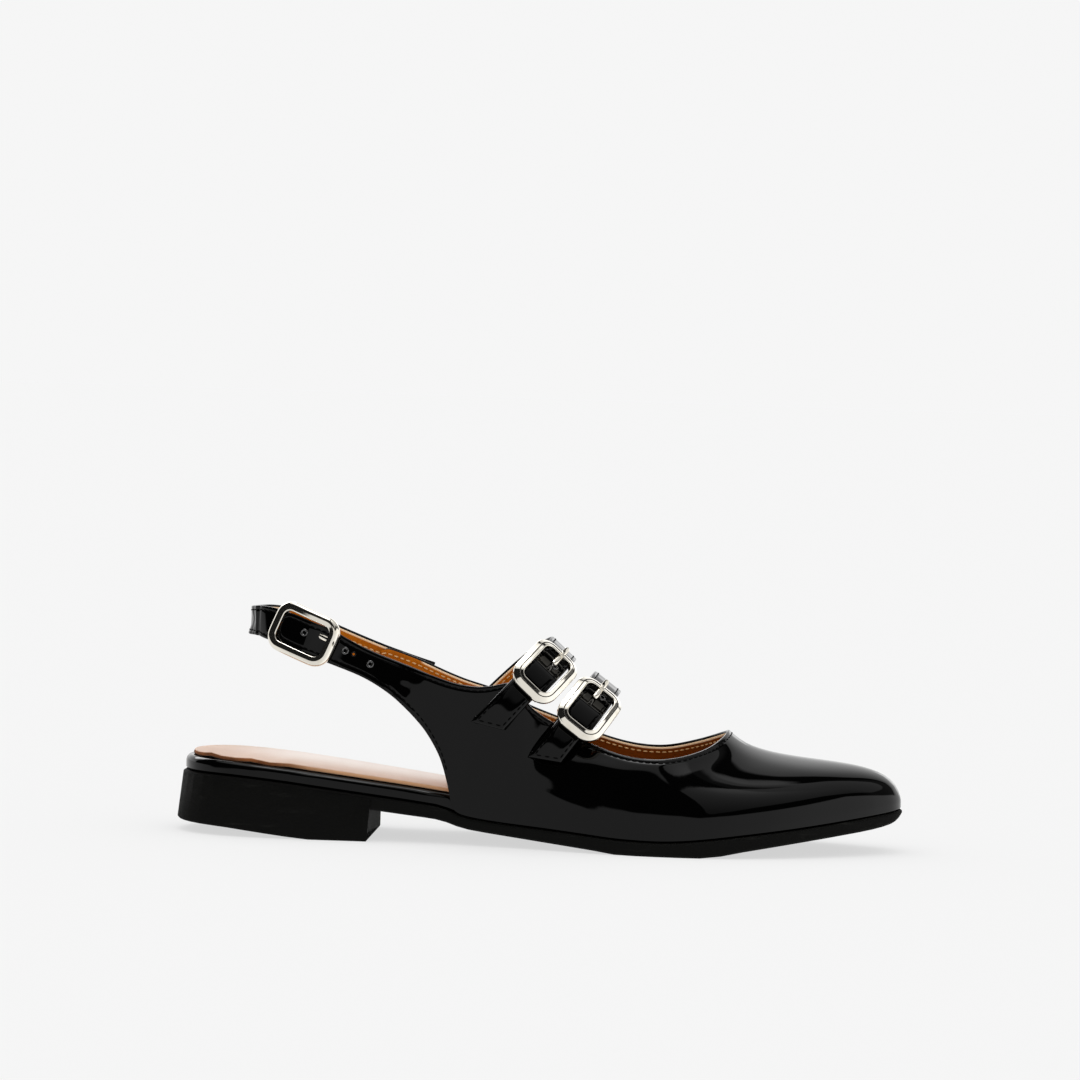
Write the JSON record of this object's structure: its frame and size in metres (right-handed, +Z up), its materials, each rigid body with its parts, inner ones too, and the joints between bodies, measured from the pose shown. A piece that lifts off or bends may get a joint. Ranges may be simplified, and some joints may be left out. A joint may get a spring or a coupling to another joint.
{
  "type": "slingback shoe",
  "caption": "Flat slingback shoe in glossy leather with an almond toe, low block heel, buckled instep straps and a buckled sling round the heel.",
  "frame": {"origin": "on the floor under the middle of the sole's length and width", "axes": "+X from heel to toe, +Y to the medial side, +Z up"},
  "size_m": [0.2579, 0.08, 0.0832],
  "materials": {
    "patent": "black patent, mirror gloss",
    "sole": "matte black",
    "sock": "smooth tan, satin",
    "buckle": "polished pale gold"
  },
  "bodies": {
    "root": {"outsole": "sole", "heel": "sole", "insole_board": "patent", "insole": "sock", "upper": "patent", "sling_strap": "patent", "sling_buckle": "buckle", "sling_prong": "buckle", "instep_strap_rear": "patent", "buckle_tab_rear": "patent", "instep_buckle_rear": "buckle", "instep_prong_rear": "buckle", "instep_strap_front": "patent", "buckle_tab_front": "patent", "instep_buckle_front": "buckle", "instep_prong_front": "buckle"}
  },
  "joints": []
}
